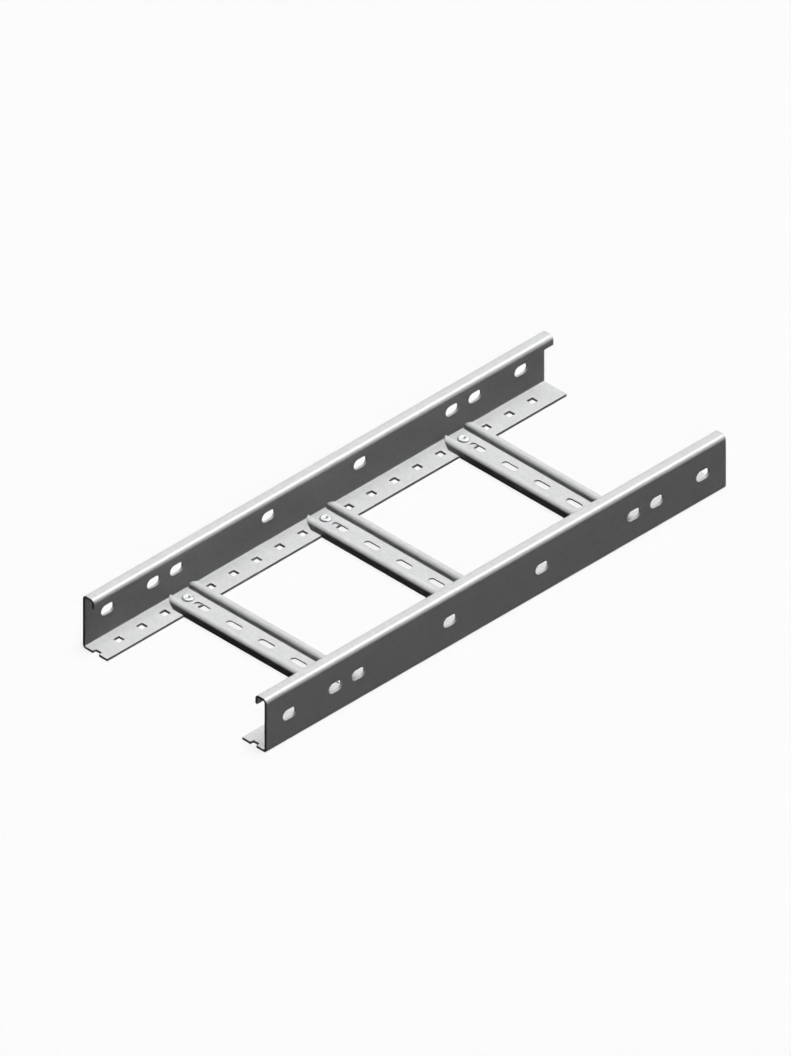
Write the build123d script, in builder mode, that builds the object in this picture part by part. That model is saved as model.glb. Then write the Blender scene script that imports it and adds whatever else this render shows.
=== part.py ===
from build123d import *
import os

# A straight section of cable ladder: two roll-formed side rails with perforated webs and flanges,
# joined by three roll-formed rungs that lie on the bottom flanges and are riveted to them.
# Millimetres. X runs across the ladder, Y along the rails, Z up from the floor that it lies on.

# Overall sizes
rail_length = 1000.0
ladder_width = 400.0
rail_height = 100.0

# Side rail section, all radii measured on the outside of the bend
rail_sheet = 4.5
top_flange_width = 24.5
lip_depth = 17.0
top_bend_radius = 8.0
bottom_flange_width = 53.0
bottom_bend_radius = 6.3

# Long slots through the web, with their distances from the nearer end of the rail
web_slot_length = 29.0
web_slot_height = 18.5
web_slot_level = 50.0
web_slot_distances = (50.0, 150.0, 200.0, 400.0)

# Square holes along the bottom flange: the row starts on the front end, which halves the first
flange_hole_side = 13.0
flange_hole_pitch = 50.0
flange_hole_row = 28.5

# Rungs
rung_count = 3
rung_pitch = 300.0
rung_sheet = 2.5
rung_end_gap = 2.5
rung_plate_width = 39.8
rib_width = 14.7
rib_rise = 12.3
rib_radius = 6.5
plate_bend_radius = 1.0
skirt_floor_gap = 2.0

# Rung ends: the plate runs on as a tongue, the ribs and their outer walls are cut back aslant
rib_cut_inner = 3.0
rib_cut_outer = 15.0
skirt_cut_length = 8.0
skirt_cut_height = 11.0
cope_gap = 1.0

# Slots along the rung's plate
rung_slot_length = 31.0
rung_slot_width = 11.5
rung_slot_pitch = 70.0

# Rivets: a wide head with a sloping edge on the rung, and a shank that ends flush under the flange
rivet_head_diameter = 19.7
rivet_crown_diameter = 16.0
rivet_head_height = 3.2
rivet_shank_diameter = 10.0
rivet_hole_clearance = 0.1

# Places worked out from the sizes above
outer_face = ladder_width / 2
half_length = rail_length / 2
seat_level = rail_sheet
plate_level = seat_level + rung_sheet
rib_level = plate_level + rib_rise
rung_half_length = outer_face - rail_sheet - rung_end_gap
rung_half_width = rung_plate_width / 2 + rib_width
rivet_place = outer_face - flange_hole_row
rung_stations = [(index - (rung_count - 1) / 2) * rung_pitch for index in range(rung_count)]
rivet_hole_radius = rivet_shank_diameter / 2 + rivet_hole_clearance
cut_margin = 5.0

web_slot_stations = [
    sign * (half_length - distance) for distance in web_slot_distances for sign in (-1, 1)
]

# A square hole within half a pitch of a rivet gives way to the rivet's round hole
flange_hole_count = int(rail_length / flange_hole_pitch)
flange_hole_stations = [
    station
    for station in (index * flange_hole_pitch - half_length for index in range(flange_hole_count))
    if all(abs(station - rung) >= flange_hole_pitch / 2 for rung in rung_stations)
]

# As many slots as fit on the plate between the two rivet heads
rung_slot_room = 2 * rivet_place - rivet_head_diameter - rung_slot_length
rung_slot_count = 1 + int(rung_slot_room / rung_slot_pitch)


# Left rail: the line along the middle of the sheet, traced with the sheet's thickness
bottom_bend = bottom_bend_radius - rail_sheet / 2
top_bend = top_bend_radius - rail_sheet / 2

with BuildPart() as rail_left:
    with BuildSketch(Plane.XZ):
        with BuildLine():
            FilletPolyline(
                (-outer_face + bottom_flange_width, rail_sheet / 2),
                (-outer_face + rail_sheet / 2, rail_sheet / 2),
                (-outer_face + rail_sheet / 2, rail_height - rail_sheet / 2),
                (-outer_face + top_flange_width - rail_sheet / 2, rail_height - rail_sheet / 2),
                (-outer_face + top_flange_width - rail_sheet / 2, rail_height - lip_depth),
                radius=(bottom_bend, top_bend, top_bend),
            )
        trace(line_width=rail_sheet)
    extrude(amount=half_length, both=True)
    # Slots through the web
    with BuildSketch(Plane.YZ.offset(-outer_face)):
        with Locations([(station, web_slot_level) for station in web_slot_stations]):
            SlotOverall(web_slot_length, web_slot_height)
    extrude(amount=rail_sheet, mode=Mode.SUBTRACT)
    # Square holes and round rivet holes through the bottom flange
    with BuildSketch(Plane.XY):
        with Locations([(-rivet_place, station) for station in flange_hole_stations]):
            Rectangle(flange_hole_side, flange_hole_side)
        with Locations([(-rivet_place, station) for station in rung_stations]):
            Circle(rivet_hole_radius)
    extrude(amount=rail_sheet, mode=Mode.SUBTRACT)
rail_left.part.label = "rail_left"

# Right rail: the mirror image
with BuildPart() as rail_right:
    mirror(rail_left.part, about=Plane.YZ)
rail_right.part.label = "rail_right"


def build_rung(label, station):
    """One rung, with its middle at a station along the rails."""
    across = Plane(origin=(0, station, 0), x_dir=(0, 1, 0), z_dir=(1, 0, 0))
    plan = Plane(origin=(0, station, 0))
    skirt_place = rung_half_width - rung_sheet / 2
    rib_wall_place = rung_plate_width / 2 + rung_sheet / 2
    rib_bend = rib_radius - rung_sheet / 2
    plate_bend = plate_bend_radius + rung_sheet / 2
    with BuildPart() as rung:
        # The line along the middle of the sheet from wall to wall, traced with its thickness
        with BuildSketch(across):
            with BuildLine():
                FilletPolyline(
                    (-skirt_place, skirt_floor_gap),
                    (-skirt_place, rib_level - rung_sheet / 2),
                    (-rib_wall_place, rib_level - rung_sheet / 2),
                    (-rib_wall_place, plate_level - rung_sheet / 2),
                    (rib_wall_place, plate_level - rung_sheet / 2),
                    (rib_wall_place, rib_level - rung_sheet / 2),
                    (skirt_place, rib_level - rung_sheet / 2),
                    (skirt_place, skirt_floor_gap),
                    radius=(rib_bend, rib_bend, plate_bend, plate_bend, rib_bend, rib_bend),
                )
            trace(line_width=rung_sheet)
        extrude(amount=rung_half_length, both=True)
        # Ribs cut back aslant at the four corners, seen from above
        with BuildSketch(plan):
            with BuildLine():
                Polyline(
                    (rung_half_length - rib_cut_inner, rung_plate_width / 2),
                    (rung_half_length - rib_cut_outer, rung_half_width),
                    (rung_half_length - rib_cut_outer, rung_half_width + cut_margin),
                    (rung_half_length + cut_margin, rung_half_width + cut_margin),
                    (rung_half_length + cut_margin, rung_plate_width / 2),
                    close=True,
                )
            make_face()
            mirror(about=Plane.XZ)
            mirror(about=Plane.YZ)
        extrude(amount=rib_level + cut_margin, mode=Mode.SUBTRACT)
        # Outer walls cut aslant down to the flange, and coped to stand clear of it
        for side in (-1, 1):
            rib_middle = station + side * (rung_half_width - rib_width / 2)
            with BuildSketch(Plane(origin=(0, rib_middle, 0), x_dir=(1, 0, 0), z_dir=(0, -1, 0))):
                with BuildLine():
                    Polyline(
                        (rung_half_length - rib_cut_outer, seat_level + skirt_cut_height),
                        (rung_half_length - rib_cut_outer - skirt_cut_length, seat_level),
                        (outer_face - bottom_flange_width - cope_gap, seat_level),
                        (outer_face - bottom_flange_width - cope_gap, 0),
                        (outer_face, 0),
                        (outer_face, seat_level + skirt_cut_height),
                        close=True,
                    )
                make_face()
                mirror(about=Plane.YZ)
            extrude(amount=-side * (rib_width / 2 + cut_margin), mode=Mode.SUBTRACT)
        # Slots and rivet holes through the plate
        with BuildSketch(plan.offset(seat_level)):
            with GridLocations(rung_slot_pitch, rung_slot_pitch, rung_slot_count, 1):
                SlotOverall(rung_slot_length, rung_slot_width)
            with Locations((-rivet_place, 0), (rivet_place, 0)):
                Circle(rivet_hole_radius)
        extrude(amount=rung_sheet, mode=Mode.SUBTRACT)
    rung.part.label = label
    export_step(rung.part, f"parts/{label}.step")


def build_rivet(label, place, station):
    """One rivet through a rung's plate and the rail's flange, turned about its own upright axis."""
    crown_level = plate_level + rivet_head_height
    with BuildPart() as rivet:
        with BuildSketch(Plane(origin=(place, station, 0), x_dir=(1, 0, 0), z_dir=(0, -1, 0))):
            with BuildLine():
                Polyline(
                    (0, 0),
                    (rivet_shank_diameter / 2, 0),
                    (rivet_shank_diameter / 2, plate_level),
                    (rivet_head_diameter / 2, plate_level),
                    (rivet_crown_diameter / 2, crown_level),
                    (0, crown_level),
                    close=True,
                )
            make_face()
        revolve(axis=Axis((place, station, 0), (0, 0, 1)))
    rivet.part.label = label
    export_step(rivet.part, f"parts/{label}.step")


os.makedirs("parts", exist_ok=True)
export_step(rail_left.part, "parts/rail_left.step")
export_step(rail_right.part, "parts/rail_right.step")
for number, station in enumerate(rung_stations, start=1):
    build_rung(f"rung_{number}", station)
    build_rivet(f"rivet_{number}_left", -rivet_place, station)
    build_rivet(f"rivet_{number}_right", rivet_place, station)
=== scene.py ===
"""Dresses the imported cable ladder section: galvanised sheet, turned rivets, floor, light and camera."""

import logging
import math
from dataclasses import dataclass, field, replace
from enum import Enum

import bpy
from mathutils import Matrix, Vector


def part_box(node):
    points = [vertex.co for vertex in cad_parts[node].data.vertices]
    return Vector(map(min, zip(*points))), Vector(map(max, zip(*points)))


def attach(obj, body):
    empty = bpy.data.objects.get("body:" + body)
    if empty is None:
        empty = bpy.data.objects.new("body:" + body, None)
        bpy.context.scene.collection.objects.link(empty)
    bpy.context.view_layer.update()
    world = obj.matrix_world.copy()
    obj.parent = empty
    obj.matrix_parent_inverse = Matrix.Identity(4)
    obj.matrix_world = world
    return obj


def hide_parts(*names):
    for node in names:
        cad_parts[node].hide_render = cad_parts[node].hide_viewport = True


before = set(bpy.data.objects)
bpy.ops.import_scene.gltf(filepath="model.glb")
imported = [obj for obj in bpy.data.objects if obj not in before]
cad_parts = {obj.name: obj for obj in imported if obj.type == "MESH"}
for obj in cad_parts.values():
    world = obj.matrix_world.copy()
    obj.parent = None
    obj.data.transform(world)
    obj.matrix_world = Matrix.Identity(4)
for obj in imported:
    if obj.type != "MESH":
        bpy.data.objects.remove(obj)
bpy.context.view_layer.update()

log = logging.getLogger("cable_ladder")

BODY = "root"
SIDES = ("left", "right")
RUNG_NUMBERS = (1, 2, 3)


class MaterialSlot(Enum):
    """The record's material slots that a new piece may take its finish from."""

    RAIL = "rail_steel"
    RUNG = "rung_steel"
    RIVET = "rivet_steel"


class Tone(Enum):
    """Plain colours of the stage, as linear red, green and blue.

    PALE is the floor's own colour and MUTED the one that its matt light on the object comes
    from. HORIZON is what the lit floor shows: the surroundings have it, so that no line parts them.
    """

    PALE = (0.98, 0.98, 0.98)
    HORIZON = (0.968, 0.968, 0.968)
    MUTED = (0.012, 0.012, 0.012)


class LampKind(Enum):
    """What a lamp's light does."""

    PLAIN = "casts shadows and bounces"
    UNSHADOWED = "reaches every face that looks at it, and doesn't bounce"
    SHEEN = "the same, and shows as gloss alone"


class NodeBoard:
    """A material's node tree, with short calls to add and join its nodes."""

    def __init__(self, owner: bpy.types.Material | bpy.types.World) -> None:
        """Clears the tree of a material or world.

        Args:
            owner: The material or world whose nodes are laid out anew.
        """
        owner.use_nodes = True
        self.tree = owner.node_tree
        self.tree.nodes.clear()

    def add(self, kind: str, **values: object) -> bpy.types.Node:
        """Adds one node and sets its properties and unlinked inputs.

        Args:
            kind: The node's type name, such as "ShaderNodeMix".
            values: Node properties by name, or input values by the socket's name
                with underscores for its spaces.

        Returns:
            The new node.
        """
        node = self.tree.nodes.new(kind)
        for name, value in values.items():
            if name in node.bl_rna.properties:
                setattr(node, name, value)
            else:
                node.inputs[name.replace("_", " ")].default_value = value
        return node

    def join(self, source: bpy.types.NodeSocket, target: bpy.types.NodeSocket) -> None:
        """Links an output socket to an input socket."""
        self.tree.links.new(source, target)


@dataclass(frozen=True)
class GalvanisedFinish:
    """Zinc-coated steel: pale grey with a fine spangle and a soft sheen.

    Attributes:
        name: The material's name.
        colour: Mean colour, linear.
        spangle: Width of one zinc crystal, in metres.
        contrast: How far the crystals differ in brightness, as a share of the colour.
        roughness: Mean roughness.
        gloss: The zinc's own specular level.
        film: Weight of the clear film on the zinc, which gives the sheen.
        film_roughness: Roughness of that film.
        relief: Bump height of the zinc's fine grain, in metres.
        relief_strength: Strength of that bump, from 0 to 1.
        roughness_spread: How far a crystal's roughness may lie from the mean.
        clouds_per_crystal: How many of the sheet's faint clouds fit a crystal's width.
        cloud_detail: How many ever finer layers the clouds have.
        cloud_contrast: How far the clouds differ in brightness, as a share of the colour.
        cloud_range: Lowest and highest value of the noise that the clouds are drawn from.
        grains_per_crystal: How many of the zinc's fine grains fit a crystal's width.
        grain_detail: How many ever finer layers the grain has.
    """

    name: str
    colour: tuple[float, float, float]
    spangle: float
    contrast: float
    roughness: float
    gloss: float
    film: float
    film_roughness: float
    relief: float
    relief_strength: float = 0.35
    roughness_spread: float = 0.06
    clouds_per_crystal: float = 0.12
    cloud_detail: float = 3.0
    cloud_contrast: float = 0.015
    cloud_range: tuple[float, float] = (0.3, 0.7)
    grains_per_crystal: float = 4.0
    grain_detail: float = 2.0

    def material(self) -> bpy.types.Material:
        """Makes the material.

        Returns:
            A new material on Object coordinates.
        """
        made = bpy.data.materials.new(self.name)
        board = NodeBoard(made)
        place = board.add("ShaderNodeTexCoord").outputs["Object"]
        crystals = board.add("ShaderNodeTexVoronoi", Scale=1 / self.spangle, Randomness=1.0)
        clouds = board.add(
            "ShaderNodeTexNoise",
            Scale=self.clouds_per_crystal / self.spangle,
            Detail=self.cloud_detail,
        )
        grain = board.add(
            "ShaderNodeTexNoise",
            Scale=self.grains_per_crystal / self.spangle,
            Detail=self.grain_detail,
        )
        for texture in (crystals, clouds, grain):
            board.join(place, texture.inputs["Vector"])
        crystal_tone = board.add("ShaderNodeSeparateColor")
        board.join(crystals.outputs["Color"], crystal_tone.inputs["Color"])
        tone = board.add("ShaderNodeMapRange", To_Min=1 - self.contrast, To_Max=1 + self.contrast)
        board.join(crystal_tone.outputs["Red"], tone.inputs["Value"])
        cloud_tone = board.add(
            "ShaderNodeMapRange",
            From_Min=self.cloud_range[0],
            From_Max=self.cloud_range[1],
            To_Min=1 - self.cloud_contrast,
            To_Max=1 + self.cloud_contrast,
        )
        board.join(clouds.outputs["Fac"], cloud_tone.inputs["Value"])
        brightness = board.add("ShaderNodeMath", operation="MULTIPLY")
        board.join(tone.outputs["Result"], brightness.inputs[0])
        board.join(cloud_tone.outputs["Result"], brightness.inputs[1])
        colour = board.add("ShaderNodeVectorMath", operation="SCALE")
        colour.inputs[0].default_value = self.colour
        board.join(brightness.outputs["Value"], colour.inputs["Scale"])
        dullness = board.add(
            "ShaderNodeMapRange",
            To_Min=self.roughness - self.roughness_spread,
            To_Max=self.roughness + self.roughness_spread,
        )
        board.join(crystal_tone.outputs["Green"], dullness.inputs["Value"])
        bump = board.add("ShaderNodeBump", Strength=self.relief_strength, Distance=self.relief)
        board.join(grain.outputs["Fac"], bump.inputs["Height"])
        steel = board.add(
            "ShaderNodeBsdfPrincipled",
            Specular_IOR_Level=self.gloss,
            Coat_Weight=self.film,
            Coat_Roughness=self.film_roughness,
        )
        board.join(colour.outputs["Vector"], steel.inputs["Base Color"])
        board.join(dullness.outputs["Result"], steel.inputs["Roughness"])
        board.join(bump.outputs["Normal"], steel.inputs["Normal"])
        surface = board.add("ShaderNodeOutputMaterial")
        board.join(steel.outputs["BSDF"], surface.inputs["Surface"])
        return made


@dataclass(frozen=True)
class ShearedFinish:
    """The cut edges of the sheet: bare grey steel under a thin zinc film, with the shear's fine grain.

    Attributes:
        name: The material's name.
        bright: Colour of the burnished part, linear.
        torn: Colour of the torn part, linear.
        grain: Width of one streak, in metres.
        roughness: Mean roughness.
        gloss: The shader's specular level.
        relief: Bump height of the streaks, in metres.
        relief_strength: Strength of that bump, from 0 to 1.
        streak_detail: How many ever finer layers the streaks have.
        streak_roughness: How strong the finer layers are, from 0 to 1.
    """

    name: str
    bright: tuple[float, float, float]
    torn: tuple[float, float, float]
    grain: float
    roughness: float
    gloss: float
    relief: float
    relief_strength: float = 0.5
    streak_detail: float = 4.0
    streak_roughness: float = 0.6

    def material(self) -> bpy.types.Material:
        """Makes the material.

        Returns:
            A new material on Object coordinates.
        """
        made = bpy.data.materials.new(self.name)
        board = NodeBoard(made)
        place = board.add("ShaderNodeTexCoord").outputs["Object"]
        streaks = board.add(
            "ShaderNodeTexNoise",
            Scale=1 / self.grain,
            Detail=self.streak_detail,
            Roughness=self.streak_roughness,
        )
        board.join(place, streaks.inputs["Vector"])
        colour = board.add("ShaderNodeMix", data_type="RGBA")
        colour.inputs["A"].default_value = (*self.torn, 1.0)
        colour.inputs["B"].default_value = (*self.bright, 1.0)
        board.join(streaks.outputs["Fac"], colour.inputs["Factor"])
        bump = board.add("ShaderNodeBump", Strength=self.relief_strength, Distance=self.relief)
        board.join(streaks.outputs["Fac"], bump.inputs["Height"])
        steel = board.add(
            "ShaderNodeBsdfPrincipled", Roughness=self.roughness, Specular_IOR_Level=self.gloss
        )
        board.join(colour.outputs["Result"], steel.inputs["Base Color"])
        board.join(bump.outputs["Normal"], steel.inputs["Normal"])
        surface = board.add("ShaderNodeOutputMaterial")
        board.join(steel.outputs["BSDF"], surface.inputs["Surface"])
        return made


SHEET_FINISH = GalvanisedFinish(
    name="galvanised_sheet",
    colour=(0.70, 0.705, 0.71),
    spangle=0.006,
    contrast=0.035,
    roughness=0.5,
    gloss=0.0,
    film=0.15,
    film_roughness=0.36,
    relief=0.00005,
)
EDGE_FINISH = ShearedFinish(
    name="sheared_edge",
    bright=(0.68, 0.68, 0.69),
    torn=(0.50, 0.50, 0.51),
    grain=0.0008,
    roughness=0.5,
    gloss=0.02,
    relief=0.00004,
)
# The rivet's zinc plating, lighter than the sheet: partly its own colour, partly painted highlight on the
# crown.
RIVET_PLATING_AND_PAINTED_HIGHLIGHT = GalvanisedFinish(
    name="zinc_plated_rivet",
    colour=(0.84, 0.845, 0.85),
    spangle=0.002,
    contrast=0.02,
    roughness=0.38,
    gloss=0.35,
    film=0.0,
    film_roughness=0.38,
    relief=0.00003,
)
# A darker copy of the same finish: painted shade on the head's edge and in the dimple.
RIVET_PAINTED_SHADE = replace(
    RIVET_PLATING_AND_PAINTED_HIGHLIGHT, name="dulled_zinc_rivet", colour=(0.36, 0.362, 0.365), contrast=0.03
)


def nothing_selected() -> None:
    """Leaves edit mode if needed and deselects every object."""
    if bpy.context.object and bpy.context.object.mode != "OBJECT":
        bpy.ops.object.mode_set(mode="OBJECT")
    bpy.ops.object.select_all(action="DESELECT")


def chosen(thing: bpy.types.Object) -> None:
    """Makes one object the only selected and the active one."""
    nothing_selected()
    thing.select_set(True)
    bpy.context.view_layer.objects.active = thing


@dataclass
class SheetPiece:
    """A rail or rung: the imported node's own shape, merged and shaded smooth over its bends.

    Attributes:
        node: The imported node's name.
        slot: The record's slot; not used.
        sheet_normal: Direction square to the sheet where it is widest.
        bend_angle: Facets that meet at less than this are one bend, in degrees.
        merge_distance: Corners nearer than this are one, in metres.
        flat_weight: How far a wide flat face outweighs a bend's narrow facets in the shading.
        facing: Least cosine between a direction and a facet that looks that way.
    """

    node: str
    slot: MaterialSlot
    sheet_normal: tuple[float, float, float]
    bend_angle: float = 30.0
    merge_distance: float = 1e-6
    flat_weight: int = 100
    facing: float = 0.99
    thing: bpy.types.Object | None = field(default=None, init=False)

    def build(self) -> None:
        """Copies the node, merges its loose facets and smooths the bends alone."""
        self.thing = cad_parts[self.node].copy()
        self.thing.data = self.thing.data.copy()
        self.thing.name = f"{self.node}_sheet"
        for key in list(self.thing.keys()):
            del self.thing[key]
        bpy.context.scene.collection.objects.link(self.thing)
        chosen(self.thing)
        bpy.ops.object.mode_set(mode="EDIT")
        bpy.ops.mesh.select_all(action="SELECT")
        bpy.ops.mesh.customdata_custom_splitnormals_clear()
        bpy.ops.mesh.remove_doubles(threshold=self.merge_distance)
        bpy.ops.object.mode_set(mode="OBJECT")
        bpy.ops.object.shade_smooth_by_angle(angle=math.radians(self.bend_angle))
        weighted = self.thing.modifiers.new("flat_faces_stay_flat", "WEIGHTED_NORMAL")
        weighted.keep_sharp = True
        weighted.weight = self.flat_weight
        bpy.ops.object.modifier_apply(modifier=weighted.name)

    def widest_face(self, direction: Vector) -> int:
        """Finds the largest facet that looks in a direction.

        Args:
            direction: The direction, of length one.

        Returns:
            The facet's index.
        """
        faces = self.thing.data.polygons
        looking = [face for face in faces if face.normal.dot(direction) > self.facing]
        return max(looking, key=lambda face: face.area).index

    def select_cut_faces(self) -> None:
        """Selects in edit mode what the shears and punches cut: all but the sheet's two rolled sides."""
        across = Vector(self.sheet_normal)
        seeds = [self.widest_face(across), self.widest_face(-across)]
        chosen(self.thing)
        bpy.ops.object.mode_set(mode="EDIT")
        bpy.ops.mesh.select_mode(type="FACE")
        bpy.ops.mesh.select_all(action="DESELECT")
        bpy.ops.object.mode_set(mode="OBJECT")
        for seed in seeds:
            self.thing.data.polygons[seed].select = True
        bpy.ops.object.mode_set(mode="EDIT")
        bpy.ops.mesh.faces_select_linked_flat(sharpness=math.radians(self.bend_angle))
        bpy.ops.mesh.select_all(action="INVERT")

    def dress(self, finish: bpy.types.Material, edge_finish: bpy.types.Material) -> None:
        """Gives the piece its finishes and its place on the frame.

        Args:
            finish: The material of the sheet's two rolled sides.
            edge_finish: The material of its cut edges.
        """
        self.thing.data.materials.clear()
        self.thing.data.materials.append(finish)
        self.thing.data.materials.append(edge_finish)
        for face in self.thing.data.polygons:
            face.material_index = 0
        self.select_cut_faces()
        self.thing.active_material_index = 1
        bpy.ops.object.material_slot_assign()
        bpy.ops.object.mode_set(mode="OBJECT")
        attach(self.thing, BODY)
        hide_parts(self.node)
        log.info("%s: %d faces", self.thing.name, len(self.thing.data.polygons))


@dataclass
class TurnedRivet:
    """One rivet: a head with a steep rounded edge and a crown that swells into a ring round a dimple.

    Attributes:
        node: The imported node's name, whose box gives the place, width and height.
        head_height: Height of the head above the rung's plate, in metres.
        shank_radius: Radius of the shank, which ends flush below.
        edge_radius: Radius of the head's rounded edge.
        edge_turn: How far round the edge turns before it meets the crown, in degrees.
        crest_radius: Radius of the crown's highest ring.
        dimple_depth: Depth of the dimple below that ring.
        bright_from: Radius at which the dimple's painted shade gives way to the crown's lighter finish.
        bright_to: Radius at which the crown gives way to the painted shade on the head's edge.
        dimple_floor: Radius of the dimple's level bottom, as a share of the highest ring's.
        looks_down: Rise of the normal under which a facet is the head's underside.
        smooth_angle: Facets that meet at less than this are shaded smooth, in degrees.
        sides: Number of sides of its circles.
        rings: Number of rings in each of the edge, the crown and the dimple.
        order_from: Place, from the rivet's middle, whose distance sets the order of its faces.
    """

    node: str
    head_height: float = 0.0032
    shank_radius: float = 0.005
    edge_radius: float = 0.0016
    edge_turn: float = 55.0
    crest_radius: float = 0.0060
    dimple_depth: float = 0.0024
    bright_from: float = 0.0048
    bright_to: float = 0.0076
    dimple_floor: float = 0.03
    looks_down: float = -0.5
    smooth_angle: float = 35.0
    sides: int = 72
    rings: int = 8
    order_from: tuple[float, float, float] = (0.041, 0.017, 0.029)
    thing: bpy.types.Object | None = field(default=None, init=False)

    def build(self) -> None:
        """Draws the rivet up ring by ring from the foot of its shank to the bottom of the dimple."""
        low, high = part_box(self.node)
        centre = (low + high) / 2
        nothing_selected()
        bpy.ops.mesh.primitive_circle_add(
            vertices=self.sides,
            radius=self.shank_radius,
            fill_type="NGON",
            location=(centre.x, centre.y, low.z),
        )
        self.thing = bpy.context.object
        self.thing.name = f"{self.node}_turned"
        bpy.ops.object.transform_apply(location=True, rotation=True, scale=True)
        bpy.ops.object.mode_set(mode="EDIT")
        bpy.ops.mesh.select_all(action="SELECT")
        radius = self.shank_radius
        level = low.z
        for next_radius, next_level in self.outline((high.x - low.x) / 2, high.z):
            self.draw_to(centre, radius, level, next_radius, next_level)
            radius, level = next_radius, next_level
        bpy.ops.mesh.select_all(action="SELECT")
        bpy.ops.mesh.normals_make_consistent(inside=False)
        # Extruding leaves the faces in an order that changes from run to run
        bpy.context.scene.cursor.location = centre + Vector(self.order_from)
        bpy.ops.mesh.sort_elements(type="CURSOR_DISTANCE", elements={"VERT", "EDGE", "FACE"})
        bpy.context.scene.cursor.location = (0, 0, 0)
        bpy.ops.object.mode_set(mode="OBJECT")
        bpy.ops.object.shade_smooth_by_angle(angle=math.radians(self.smooth_angle))

    def outline(self, head_radius: float, crest_level: float) -> list[tuple[float, float]]:
        """Radius and level of each ring above the foot of the shank.

        Args:
            head_radius: Radius of the head's foot.
            crest_level: Level of the crown's highest ring.

        Returns:
            The rings up the shank, up the head's edge, over the crown and down into the dimple.
        """
        plate_level = crest_level - self.head_height
        turn = math.radians(self.edge_turn)
        slope = math.pi / 2 - turn
        shoulder_radius = head_radius - self.edge_radius * (1 - math.cos(turn))
        crown_bend = (shoulder_radius - self.crest_radius) / math.sin(slope)
        shoulder_level = crest_level - crown_bend * (1 - math.cos(slope))
        wall_level = shoulder_level - self.edge_radius * math.sin(turn)
        shares = [step / self.rings for step in range(1, self.rings + 1)]
        rings = [(self.shank_radius, plate_level), (head_radius, plate_level), (head_radius, wall_level)]
        for share in shares:
            angle = turn * share
            reach = head_radius - self.edge_radius * (1 - math.cos(angle))
            rings.append((reach, wall_level + self.edge_radius * math.sin(angle)))
        for share in shares:
            angle = slope * (1 - share)
            reach = self.crest_radius + crown_bend * math.sin(angle)
            rings.append((reach, crest_level - crown_bend * (1 - math.cos(angle))))
        for share in shares:
            reach = self.crest_radius * (1 - (1 - self.dimple_floor) * share)
            sunk = self.dimple_depth * (1 - math.cos(math.pi * share)) / 2
            rings.append((reach, crest_level - sunk))
        return rings

    def draw_to(
        self, centre: Vector, radius: float, level: float, next_radius: float, next_level: float
    ) -> None:
        """Extrudes the selected disc to the next ring.

        Args:
            centre: A point on the rivet's axis.
            radius: Radius of the selected disc.
            level: Level of the selected disc.
            next_radius: Radius to reach.
            next_level: Level to reach.
        """
        rise = (0, 0, next_level - level)
        bpy.ops.mesh.extrude_region_move(TRANSFORM_OT_translate={"value": rise})
        share = next_radius / radius
        middle = (centre.x, centre.y, next_level)
        bpy.ops.transform.resize(value=(share, share, 1), center_override=middle)

    def copy_to(self, node: str) -> "TurnedRivet":
        """Copies the modelled rivet to another packed rivet's place.

        Args:
            node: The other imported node's name.

        Returns:
            The copy, with a mesh of its own.
        """
        twin = replace(self, node=node)
        twin.thing = self.thing.copy()
        twin.thing.data = self.thing.data.copy()
        twin.thing.name = f"{node}_turned"
        bpy.context.scene.collection.objects.link(twin.thing)
        chosen(twin.thing)
        bpy.ops.object.mode_set(mode="EDIT")
        bpy.ops.mesh.select_all(action="SELECT")
        bpy.ops.transform.translate(value=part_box(node)[0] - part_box(self.node)[0])
        bpy.ops.object.mode_set(mode="OBJECT")
        return twin

    def dress(self, finish: bpy.types.Material, shade_painted_finish: bpy.types.Material) -> None:
        """Gives the rivet its finishes and its place on the frame.

        Args:
            finish: The material of the crown and the shank: the plating's colour, made lighter in part as
                painted highlight.
            shade_painted_finish: The material of the head's edge and of the dimple: a darker copy of the
                finish, as painted shade.
        """
        self.thing.data.materials.clear()
        self.thing.data.materials.append(finish)
        self.thing.data.materials.append(shade_painted_finish)
        low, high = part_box(self.node)
        centre = (low + high) / 2
        plate_level = high.z - self.head_height
        # Painted shade: faces on the head outside the crown ring, the edge and the dimple, take the
        # darker copy; the rest take the lighter one.
        for face in self.thing.data.polygons:
            reach = (face.center - centre).xy.length
            on_head = face.center.z > plate_level and face.normal.z > self.looks_down
            on_crown = self.bright_from < reach < self.bright_to
            face.material_index = 1 if on_head and not on_crown else 0
        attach(self.thing, BODY)
        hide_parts(self.node)
        log.info("%s: %d faces", self.thing.name, len(self.thing.data.polygons))


@dataclass(frozen=True)
class Lamp:
    """A far lamp that lights everything from one direction.

    Attributes:
        name: The lamp's name.
        comes_from: Direction to the lamp.
        strength: Its strength: pi lights a level white surface to white.
        spread: Angle that it spreads over, in degrees.
        kind: What its light does.
        bounces: How often the light of a plain lamp may bounce.
    """

    name: str
    comes_from: tuple[float, float, float]
    strength: float
    spread: float
    kind: LampKind = LampKind.PLAIN
    bounces: int = 8

    def hang(self) -> None:
        """Adds the lamp to the scene."""
        lamp = bpy.data.lights.new(self.name, "SUN")
        lamp.energy = self.strength
        lamp.angle = math.radians(self.spread)
        lamp.use_shadow = self.kind is LampKind.PLAIN
        lamp.cycles.max_bounces = self.bounces if self.kind is LampKind.PLAIN else 0
        hung = bpy.data.objects.new(self.name, lamp)
        hung.visible_diffuse = self.kind is not LampKind.SHEEN
        hung.rotation_mode = "QUATERNION"
        hung.rotation_quaternion = Vector(self.comes_from).to_track_quat("Z", "Y")
        bpy.context.scene.collection.objects.link(hung)


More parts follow.
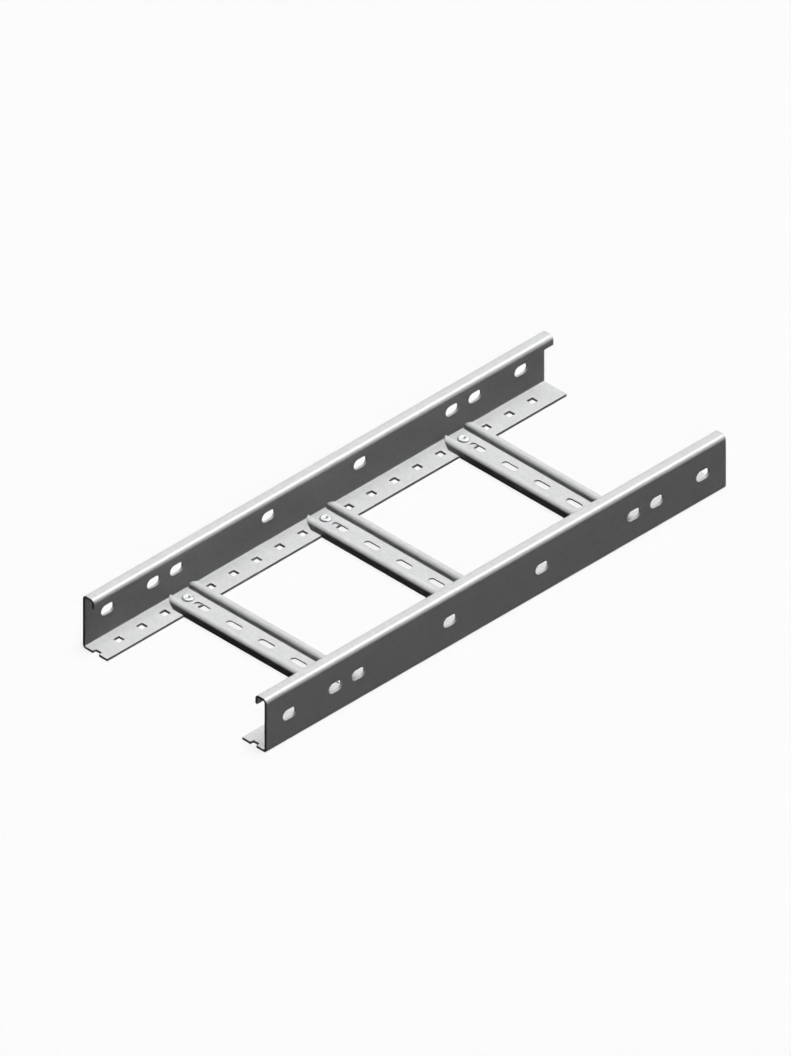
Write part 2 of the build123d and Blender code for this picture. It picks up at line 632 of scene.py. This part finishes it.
# Both parts of the key come from one side: the first alone keeps the shadow on the floor, faintly.
# The floor bounce stands for a pale floor's light on the outer side of the left rail. The sheens
# give the bright line on the rails' bends and the highlights on the rivets' crowns.
KEY_FROM = (0.104, 0.14, 0.98)
LAMPS = (
    Lamp("key_with_shadow", KEY_FROM, strength=0.65, spread=16.0),
    Lamp("key_without_shadow", KEY_FROM, strength=2.45, spread=16.0, kind=LampKind.UNSHADOWED),
    Lamp("floor_bounce", (-0.62, 0.2, -0.76), strength=0.55, spread=40.0, kind=LampKind.UNSHADOWED),
    Lamp("sheen_on_bends", (0.27, 0.577, 0.77), strength=30.0, spread=30.0, kind=LampKind.SHEEN),
    Lamp("sheen_on_rivets", (-0.273, 0.322, 0.907), strength=6.5, spread=20.0, kind=LampKind.SHEEN),
)


@dataclass
class Studio:
    """The floor, the light and the camera.

    Attributes:
        floor_width: Width of the square floor, in metres.
        floor_level: Level of the floor, a hair below the object so that the two don't coincide.
        look_at: The point in the middle of the picture.
        look_from: Direction from that point to the camera: the three axes equally foreshortened.
        camera_distance: Distance of the camera.
        view_height: Height of the picture at the object, in metres.
        view_depth: How far the camera sees, in metres.
        fill_strength: Strength of the even light from the surroundings.
        shadow_share: How far the seen floor answers to light and shadow, from 0 to 1.
    """

    floor_width: float = 30.0
    floor_level: float = -0.0002
    look_at: tuple[float, float, float] = (-0.0342, 0.0159, 0.0501)
    look_from: tuple[float, float, float] = (1.0, -1.0, 1.0)
    camera_distance: float = 4.0
    view_height: float = 1.6257
    view_depth: float = 50.0
    fill_strength: float = 0.005
    shadow_share: float = 0.5

    def lay_floor(self) -> None:
        """Lays a level pale floor that lights the object like a muted one and is clear from below."""
        nothing_selected()
        bpy.ops.mesh.primitive_plane_add(size=self.floor_width, location=(0, 0, self.floor_level))
        floor = bpy.context.object
        floor.name = "floor"
        finish = bpy.data.materials.new("pale_floor")
        board = NodeBoard(finish)
        seen = self.seen_directly(board)
        pale = board.add("ShaderNodeBsdfDiffuse", Color=(*Tone.PALE.value, 1.0))
        white = board.add("ShaderNodeEmission", Color=(*Tone.PALE.value, 1.0), Strength=1.0)
        shown = board.add("ShaderNodeMixShader", Fac=self.shadow_share)
        board.join(white.outputs["Emission"], shown.inputs[1])
        board.join(pale.outputs["BSDF"], shown.inputs[2])
        muted = board.add("ShaderNodeBsdfDiffuse", Color=(*Tone.MUTED.value, 1.0))
        mix = board.add("ShaderNodeMixShader")
        board.join(seen, mix.inputs["Fac"])
        board.join(muted.outputs["BSDF"], mix.inputs[1])
        board.join(shown.outputs["Shader"], mix.inputs[2])
        underside = board.add("ShaderNodeNewGeometry").outputs["Backfacing"]
        clear = board.add("ShaderNodeBsdfTransparent")
        one_sided = board.add("ShaderNodeMixShader")
        board.join(underside, one_sided.inputs["Fac"])
        board.join(mix.outputs["Shader"], one_sided.inputs[1])
        board.join(clear.outputs["BSDF"], one_sided.inputs[2])
        surface = board.add("ShaderNodeOutputMaterial")
        board.join(one_sided.outputs["Shader"], surface.inputs["Surface"])
        floor.data.materials.append(finish)

    def seen_directly(self, board: NodeBoard) -> bpy.types.NodeSocket:
        """Adds nodes that give 1 to camera, glossy and transmission rays, and 0 to others.

        Args:
            board: The node tree that they go into.

        Returns:
            The socket that gives the value.
        """
        rays = board.add("ShaderNodeLightPath")
        first = board.add("ShaderNodeMath", operation="MAXIMUM")
        both = board.add("ShaderNodeMath", operation="MAXIMUM")
        board.join(rays.outputs["Is Camera Ray"], first.inputs[0])
        board.join(rays.outputs["Is Glossy Ray"], first.inputs[1])
        board.join(first.outputs["Value"], both.inputs[0])
        board.join(rays.outputs["Is Transmission Ray"], both.inputs[1])
        return both.outputs["Value"]

    def light(self) -> None:
        """Hangs the lamps and sets the surroundings, as pale as the floor where they are seen."""
        for lamp in LAMPS:
            lamp.hang()
        world = bpy.data.worlds.new("surroundings")
        bpy.context.scene.world = world
        board = NodeBoard(world)
        seen = self.seen_directly(board)
        shown = board.add("ShaderNodeBackground", Color=(*Tone.HORIZON.value, 1.0), Strength=1.0)
        fill = board.add("ShaderNodeBackground", Color=(1.0, 1.0, 1.0, 1.0), Strength=self.fill_strength)
        mix = board.add("ShaderNodeMixShader")
        board.join(seen, mix.inputs["Fac"])
        board.join(fill.outputs["Background"], mix.inputs[1])
        board.join(shown.outputs["Background"], mix.inputs[2])
        surface = board.add("ShaderNodeOutputWorld")
        board.join(mix.outputs["Shader"], surface.inputs["Surface"])

    def place_camera(self) -> None:
        """Stands the parallel camera at the photograph's angle."""
        lens = bpy.data.cameras.new("camera")
        lens.type = "ORTHO"
        lens.ortho_scale = self.view_height
        lens.clip_end = self.view_depth
        camera = bpy.data.objects.new("camera", lens)
        back = Vector(self.look_from).normalized()
        camera.location = Vector(self.look_at) + back * self.camera_distance
        camera.rotation_mode = "QUATERNION"
        camera.rotation_quaternion = (-back).to_track_quat("-Z", "Y")
        bpy.context.scene.collection.objects.link(camera)
        bpy.context.scene.camera = camera


def main() -> None:
    """Builds and dresses every piece, then the studio."""
    logging.basicConfig(level=logging.INFO, format="%(name)s %(message)s")
    bpy.context.scene.view_settings.view_transform = "Standard"
    sheet = SHEET_FINISH.material()
    edge = EDGE_FINISH.material()
    # The rivet's lighter and darker copies of one finish: partly painted highlight on the crown, painted
    # shade on the edge and in the dimple.
    rivet_steel = RIVET_PLATING_AND_PAINTED_HIGHLIGHT.material()
    rivet_shade_painted = RIVET_PAINTED_SHADE.material()
    rails = [SheetPiece(f"rail_{side}", MaterialSlot.RAIL, (1, 0, 0)) for side in SIDES]
    rungs = [SheetPiece(f"rung_{number}", MaterialSlot.RUNG, (0, 0, 1)) for number in RUNG_NUMBERS]
    for piece in rails + rungs:
        piece.build()
        piece.dress(sheet, edge)
    first_node, *other_nodes = [f"rivet_{number}_{side}" for number in RUNG_NUMBERS for side in SIDES]
    rivet = TurnedRivet(first_node)
    rivet.build()
    copies = [rivet.copy_to(node) for node in other_nodes]
    for turned in [rivet, *copies]:
        turned.dress(rivet_steel, rivet_shade_painted)
    studio = Studio()
    studio.lay_floor()
    studio.light()
    studio.place_camera()


if __name__ == "__main__":
    main()
